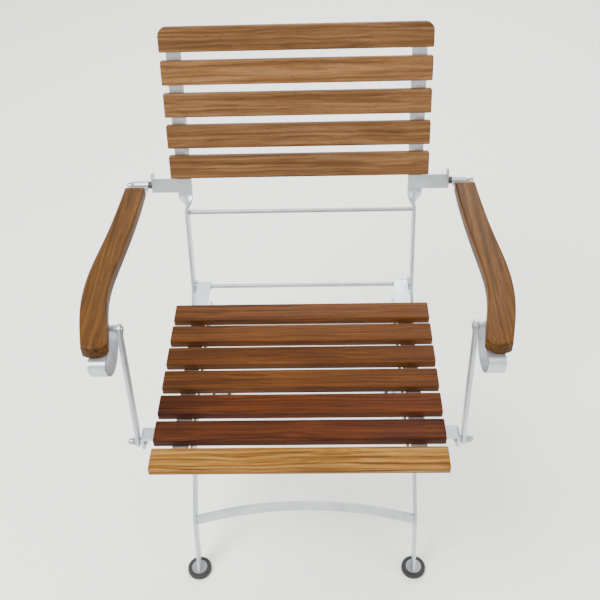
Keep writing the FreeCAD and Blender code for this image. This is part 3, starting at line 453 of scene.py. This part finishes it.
def screw_group():
    """A cross-recess pan head and its shank on each point, turned at random about its axis."""
    tree, given = new_group("Screws", (
        ("Head Diameter", "NodeSocketFloat"), ("Head Height", "NodeSocketFloat"),
        ("Shank Diameter", "NodeSocketFloat"), ("Shank Length", "NodeSocketFloat"),
        ("Recess Width", "NodeSocketFloat"), ("Seed", "NodeSocketInt"),
        ("Material", "NodeSocketMaterial")))
    height = given.outputs["Head Height"]

    def times(value, factor):
        return add(tree, "ShaderNodeMath", {0: value, 1: factor}, operation="MULTIPLY").outputs[0]

    def upright(value):
        return add(tree, "ShaderNodeCombineXYZ", {2: value}).outputs[0]

    drum = add(tree, "GeometryNodeMeshCylinder", {
        "Vertices": 20, "Side Segments": 4, "Radius": times(given.outputs["Head Diameter"], 0.5),
        "Depth": height})
    stood = add(tree, "GeometryNodeTransform", {
        "Geometry": drum.outputs[0], "Translation": upright(times(height, 0.5))})
    place = add(tree, "GeometryNodeInputPosition").outputs[0]
    level = add(tree, "ShaderNodeMath", {
        0: add(tree, "ShaderNodeSeparateXYZ", {0: place}).outputs[2], 1: height}, operation="DIVIDE")
    bulge = add(tree, "ShaderNodeMath", {0: level.outputs[0], 1: 3.0}, operation="POWER")
    shrink = add(tree, "ShaderNodeMath", {0: 1.0, 1: times(bulge.outputs[0], 0.32)}, operation="SUBTRACT")
    narrowed = add(tree, "ShaderNodeVectorMath", {
        0: place, 1: add(tree, "ShaderNodeCombineXYZ", {
            0: shrink.outputs[0], 1: shrink.outputs[0], 2: 1.0}).outputs[0]}, operation="MULTIPLY")
    domed = add(tree, "GeometryNodeSetPosition", {
        "Geometry": stood.outputs[0], "Position": narrowed.outputs[0]})
    span = times(given.outputs["Head Diameter"], 0.55)
    bar = add(tree, "GeometryNodeMeshCube", {
        "Size": add(tree, "ShaderNodeCombineXYZ", {
            0: span, 1: given.outputs["Recess Width"], 2: height}).outputs[0]})
    cross = add(tree, "GeometryNodeMeshCube", {
        "Size": add(tree, "ShaderNodeCombineXYZ", {
            0: given.outputs["Recess Width"], 1: span, 2: height}).outputs[0]})
    recess = add(tree, "GeometryNodeMeshBoolean", {
        "Mesh 2": bar.outputs[0]}, operation="UNION", solver="EXACT")
    tree.links.new(cross.outputs[0], recess.inputs["Mesh 2"])
    lifted = add(tree, "GeometryNodeTransform", {
        "Geometry": recess.outputs[0], "Translation": upright(height)})
    cut = add(tree, "GeometryNodeMeshBoolean", {
        "Mesh 1": domed.outputs[0], "Mesh 2": lifted.outputs[0]}, operation="DIFFERENCE", solver="EXACT")
    shank = add(tree, "GeometryNodeMeshCylinder", {
        "Vertices": 12, "Radius": times(given.outputs["Shank Diameter"], 0.5),
        "Depth": given.outputs["Shank Length"]})
    sunk = add(tree, "GeometryNodeTransform", {
        "Geometry": shank.outputs[0], "Translation": upright(times(given.outputs["Shank Length"], -0.5))})
    screw = add(tree, "GeometryNodeJoinGeometry", {0: cut.outputs[0]})
    tree.links.new(sunk.outputs[0], screw.inputs[0])
    direction = add(tree, "GeometryNodeInputNamedAttribute", {"Name": "direction"},
                    data_type="FLOAT_VECTOR")
    aimed = add(tree, "FunctionNodeAlignRotationToVector", {
        "Vector": direction.outputs[0]}, axis="Z")
    spin = add(tree, "FunctionNodeRandomValue", {"Seed": given.outputs["Seed"]}, data_type="FLOAT")
    turn = add(tree, "FunctionNodeEulerToRotation", {
        0: upright(times(spin.outputs[1], math.tau))})
    turned = add(tree, "FunctionNodeRotateRotation", {
        0: aimed.outputs[0], 1: turn.outputs[0]}, rotation_space="LOCAL")
    placed = add(tree, "GeometryNodeInstanceOnPoints", {
        "Points": given.outputs["Geometry"], "Instance": screw.outputs[0],
        "Rotation": turned.outputs[0]})
    finish_group(tree, given, placed)
    return tree


def group_named(name, maker):
    """A tree that is there already, or made now."""
    return bpy.data.node_groups.get(name) or maker()


def make_slats(name, slot, body, nodes, places, tones, tilt, corner):
    """A group of like slats: built on its points, then given rounded edges."""
    sizes = bpy.context.scene.armchair_sizes
    made = link_object(name, points_mesh(name, places, tones=tones))
    use_group(made, group_named("Slats", slat_group), {
        "Length": sizes.slat_length, "Width": sizes.slat_width, "Thickness": sizes.slat_thickness,
        "Corner Radius": corner, "Tilt": tilt, "Material": materials()[slot]})
    ease_edges(made, sizes.slat_edge, 4)
    settle(made)
    return stand_for(made, body, nodes)


def islands(node):
    """Corner places of each separate solid in a node."""
    work = bmesh.new()
    work.from_mesh(NODES[node].data)
    bmesh.ops.remove_doubles(work, verts=work.verts, dist=WELD_DISTANCE)
    left = set(work.verts)
    found = []
    while left:
        start = min(left, key=lambda v: v.index)
        stack, seen = [start], {start}
        while stack:
            for edge in stack.pop().link_edges:
                for vert in edge.verts:
                    if vert not in seen:
                        seen.add(vert)
                        stack.append(vert)
        left -= seen
        found.append([v.co.copy() for v in seen])
    work.free()
    return found


def screw_seats(node, outward, head_height):
    """Where each screw's head meets the metal, and the way it faces."""
    direction = Vector(outward).normalized()
    across = direction.orthogonal().normalized()
    beside = direction.cross(across)
    seats = []
    for verts in islands(node):
        top = max(v.dot(direction) for v in verts) - head_height
        middle = [(min(v.dot(a) for v in verts) + max(v.dot(a) for v in verts)) / 2
                  for a in (across, beside)]
        seats.append(direction * top + across * middle[0] + beside * middle[1])
    return sorted(seats, key=lambda p: (round(p.z, 4), round(p.y, 4), p.x))


def make_screws(node, outward, seed):
    """Screws of one node, all facing one way."""
    sizes = bpy.context.scene.armchair_sizes
    seats = screw_seats(node, outward, sizes.screw_head_height)
    direction = Vector(outward).normalized()
    name = node + "_heads"
    made = link_object(name, points_mesh(name, seats, axes=[direction] * len(seats)))
    use_group(made, group_named("Screws", screw_group), {
        "Head Diameter": sizes.screw_head_diameter, "Head Height": sizes.screw_head_height,
        "Shank Diameter": sizes.screw_head_diameter / 2, "Shank Length": sizes.screw_shank_length,
        "Recess Width": sizes.screw_recess_width, "Seed": seed,
        "Material": materials()["fastener_steel"]})
    settle(made)
    return stand_for(made, NODES[node]["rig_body"], [node])


def size_of(node):
    """Width, depth and height of a node."""
    low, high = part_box(node)
    return high - low


def length_property(name, description, default):
    return FloatProperty(name=name, description=description, default=default, min=0.0, unit="LENGTH")


def colour_property(name, description, hex_colour):
    return FloatVectorProperty(name=name, description=description, default=linear(hex_colour)[:3],
                               size=3, min=0.0, max=1.0, subtype="COLOR")


class ArmchairSizes(bpy.types.PropertyGroup):
    """Sizes of the repeated pieces."""
    slat_length: length_property("Slat length", "Length of every slat", size_of("seat_slat_1").x)
    slat_width: length_property("Slat width", "Width of every slat", size_of("seat_slat_1").y)
    slat_thickness: length_property("Slat thickness", "Thickness of every slat", size_of("seat_slat_1").z)
    slat_edge: length_property("Slat edge radius", "Rounding along the slats' edges", 2.5 * MM)
    top_corner: length_property("Top corner radius", "Rounding of the top slat's upper corners", 14 * MM)
    back_start: length_property("Back start", "From the hinge up to the first back slat", 216.2 * MM)
    back_pitch: length_property("Back pitch", "From one back slat to the next", 53.7 * MM)
    back_offset: length_property("Back offset", "From the upright's middle to its front face", 2.5 * MM)
    recline: FloatProperty(name="Recline", description="Lean of the back from upright",
                           default=math.radians(16.5), subtype="ANGLE")
    screw_head_diameter: length_property("Screw head", "Diameter of a screw head", 8 * MM)
    screw_head_height: length_property("Screw head height", "Height of a screw head", 2 * MM)
    screw_shank_length: length_property("Screw shank", "Length of a screw under its head", 11 * MM)
    screw_recess_width: length_property("Screw recess", "Width of the cross recess", 1.1 * MM)


class ArmchairColours(bpy.types.PropertyGroup):
    """Colours of the setting."""
    floor: colour_property("Floor", "Colour of the floor", "#F4F3F1")
    sky: colour_property("Surround", "Colour of the soft light all round", "#FFFFFF")


class ARMCHAIR_OT_stage(bpy.types.Operator):
    """Camera, pale floor and soft studio light"""
    bl_idname = "armchair.stage"
    bl_label = "Camera, floor and light"

    def execute(self, context):
        make_camera(context)
        colours = context.scene.armchair_colours
        make_floor(colours.floor)
        make_world(colours.sky)
        make_lights()
        return {"FINISHED"}


def make_camera(context):
    """Camera in front of the chair and above it, looking down at the seat."""
    data = bpy.data.cameras.new("Camera")
    data.lens = CAMERA_LENS
    data.sensor_width = CAMERA_FILM
    data.clip_start = 0.01
    camera = link_object("Camera", data)
    ahead = Vector((math.sin(CAMERA_YAW) * math.cos(CAMERA_DOWN),
                    math.cos(CAMERA_YAW) * math.cos(CAMERA_DOWN), -math.sin(CAMERA_DOWN)))
    right = Vector((math.cos(CAMERA_YAW), -math.sin(CAMERA_YAW), 0.0))
    above = right.cross(ahead)
    across = right * math.cos(CAMERA_ROLL) + above * math.sin(CAMERA_ROLL)
    upward = above * math.cos(CAMERA_ROLL) - right * math.sin(CAMERA_ROLL)
    matrix = Matrix((across, upward, -ahead)).transposed().to_4x4()
    matrix.translation = Vector(CAMERA_PLACE)
    camera.matrix_world = matrix
    context.scene.camera = camera


def make_floor(colour):
    """Plain matt floor under the chair."""
    corners = [(-FLOOR_HALF, -FLOOR_HALF, 0), (FLOOR_HALF, -FLOOR_HALF, 0),
               (FLOOR_HALF, FLOOR_HALF, 0), (-FLOOR_HALF, FLOOR_HALF, 0)]
    mesh = bpy.data.meshes.new("Floor")
    mesh.from_pydata(corners, [], [(0, 1, 2, 3)])
    material, tree = new_material("floor_paper")
    shader = add(tree, "ShaderNodeBsdfPrincipled", {
        "Base Color": tuple(colour) + (1.0,), "Roughness": 0.9})
    add(tree, "ShaderNodeOutputMaterial", {"Surface": shader.outputs[0]})
    mesh.materials.append(material)
    link_object("Floor", mesh)


def make_world(colour):
    """Even soft light from all round."""
    world = bpy.data.worlds.new("Surround")
    world.use_nodes = True
    world.node_tree.nodes.clear()
    glow = add(world.node_tree, "ShaderNodeBackground", {
        "Color": tuple(colour) + (1.0,), "Strength": SURROUND_STRENGTH})
    add(world.node_tree, "ShaderNodeOutputWorld", {0: glow.outputs[0]})
    bpy.context.scene.world = world


def make_lights():
    """Three soft round lamps."""
    middle = (CAD_BOX[0] + CAD_BOX[1]) / 2
    for name, place, size, power in LIGHTS:
        data = bpy.data.lights.new(name, "AREA")
        data.shape = "DISK"
        data.size = size
        data.energy = power
        lamp = link_object(name, data)
        turn = (Vector(place) - middle).to_track_quat("Z", "Y")
        lamp.matrix_world = Matrix.Translation(place) @ turn.to_matrix().to_4x4()


class ARMCHAIR_OT_seat_slats(bpy.types.Operator):
    """Seven teak slats of the seat, in three tones"""
    bl_idname = "armchair.seat_slats"
    bl_label = "Seat slats"

    def execute(self, context):
        groups = {"teak_pale": ("seat_front_slat", (1,)), "teak_dark": ("seat_dark_slats", (2, 3)),
                  "teak_seat": ("seat_rear_slats", (4, 5, 6, 7))}
        for slot, (name, numbers) in groups.items():
            places, tones = [], []
            for number in numbers:
                low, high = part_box("seat_slat_%d" % number)
                places.append(((low.x + high.x) / 2, (low.y + high.y) / 2, low.z))
                tones.append(SEAT_TONES[number - 1])
            make_slats(name, slot, "seat", ["seat_slat_%d" % n for n in numbers], places, tones, 0.0, 0.0)
        return {"FINISHED"}


class ARMCHAIR_OT_back_slats(bpy.types.Operator):
    """Five teak slats of the back; the top one has rounded upper corners"""
    bl_idname = "armchair.back_slats"
    bl_label = "Back slats"

    def execute(self, context):
        sizes = context.scene.armchair_sizes
        up = Vector((0.0, math.sin(sizes.recline), math.cos(sizes.recline)))
        forward = Vector((0.0, -math.cos(sizes.recline), math.sin(sizes.recline)))
        base = HINGE + forward * sizes.back_offset
        groups = {"back_slats": ((1, 2, 3, 4), 0.0), "back_top_slat": ((5,), sizes.top_corner)}
        for name, (numbers, corner) in groups.items():
            places = [base + up * (sizes.back_start + (n - 1) * sizes.back_pitch + sizes.slat_width / 2)
                      for n in numbers]
            make_slats(name, "teak_back", "back_frame", ["back_slat_%d" % n for n in numbers], places,
                       [BACK_TONES[n - 1] for n in numbers], math.pi / 2 - sizes.recline, corner)
        return {"FINISHED"}


def finish_slots(slots, ease=EDGE_EASE, left_out=()):
    """Finished pieces for every node whose material slot is one of these."""
    for part in frame["record"]["subparts"]:
        if part["material_slot"] in slots and part["node"] not in left_out:
            finish_node(part["node"], part["material_slot"], ease)


class ARMCHAIR_OT_arm_rests(bpy.types.Operator):
    """Curved teak arms"""
    bl_idname = "armchair.arm_rests"
    bl_label = "Arm rests"

    def execute(self, context):
        finish_slots(("teak_arm",), 0.0)
        return {"FINISHED"}


class ARMCHAIR_OT_flat_bars(bpy.types.Operator):
    """Galvanised uprights, legs, rails, straps, brackets and links"""
    bl_idname = "armchair.flat_bars"
    bl_label = "Flat bars"

    def execute(self, context):
        finish_slots(("galvanised_bar",))
        return {"FINISHED"}


class ARMCHAIR_OT_rods(bpy.types.Operator):
    """Round rods and the sleeves on them"""
    bl_idname = "armchair.rods"
    bl_label = "Rods"

    def execute(self, context):
        finish_slots(("galvanised_rod",))
        return {"FINISHED"}


class ARMCHAIR_OT_feet(bpy.types.Operator):
    """Rubber pads with their steel discs"""
    bl_idname = "armchair.feet"
    bl_label = "Feet"

    def execute(self, context):
        finish_slots(("foot_rubber",), 0.0)
        finish_slots(("disc_steel",))
        return {"FINISHED"}


class ARMCHAIR_OT_pivots(bpy.types.Operator):
    """Bolts, pins, rivets and washers of the pivots"""
    bl_idname = "armchair.pivots"
    bl_label = "Pivots"

    def execute(self, context):
        finish_slots(("fastener_steel", "washer_dark"), left_out=SCREW_NODES)
        return {"FINISHED"}


class ARMCHAIR_OT_screws(bpy.types.Operator):
    """Pan-head screws that hold the slats and arms"""
    bl_idname = "armchair.screws"
    bl_label = "Screws"

    def execute(self, context):
        recline = context.scene.armchair_sizes.recline
        backward = (0.0, math.cos(recline), -math.sin(recline))
        downward = (0.0, 0.0, -1.0)
        outward = {"back_slat_screws": backward}
        for seed, node in enumerate(SCREW_NODES, FIRST_SCREW_SEED):
            make_screws(node, outward.get(node, downward), seed)
        return {"FINISHED"}


OPERATORS = (ARMCHAIR_OT_stage, ARMCHAIR_OT_seat_slats, ARMCHAIR_OT_back_slats, ARMCHAIR_OT_arm_rests,
             ARMCHAIR_OT_flat_bars, ARMCHAIR_OT_rods, ARMCHAIR_OT_feet, ARMCHAIR_OT_pivots,
             ARMCHAIR_OT_screws)


class ARMCHAIR_PT_panel(bpy.types.Panel):
    """Sizes, colours and steps of the armchair"""
    bl_idname = "ARMCHAIR_PT_panel"
    bl_label = "Folding Armchair"
    bl_space_type = "VIEW_3D"
    bl_region_type = "UI"
    bl_category = "Armchair"

    def draw(self, context):
        for settings in (context.scene.armchair_sizes, context.scene.armchair_colours):
            for name in settings.__annotations__:
                self.layout.prop(settings, name)
        for operator in OPERATORS:
            self.layout.operator(operator.bl_idname)


CLASSES = (ArmchairSizes, ArmchairColours, *OPERATORS, ARMCHAIR_PT_panel)


def register():
    for item in CLASSES:
        bpy.utils.register_class(item)
    bpy.types.Scene.armchair_sizes = PointerProperty(type=ArmchairSizes)
    bpy.types.Scene.armchair_colours = PointerProperty(type=ArmchairColours)


def unregister():
    del bpy.types.Scene.armchair_colours
    del bpy.types.Scene.armchair_sizes
    for item in reversed(CLASSES):
        bpy.utils.unregister_class(item)


def main():
    register()
    for operator in OPERATORS:
        group, name = operator.bl_idname.split(".")
        getattr(getattr(bpy.ops, group), name)()


if __name__ == "__main__":
    main()
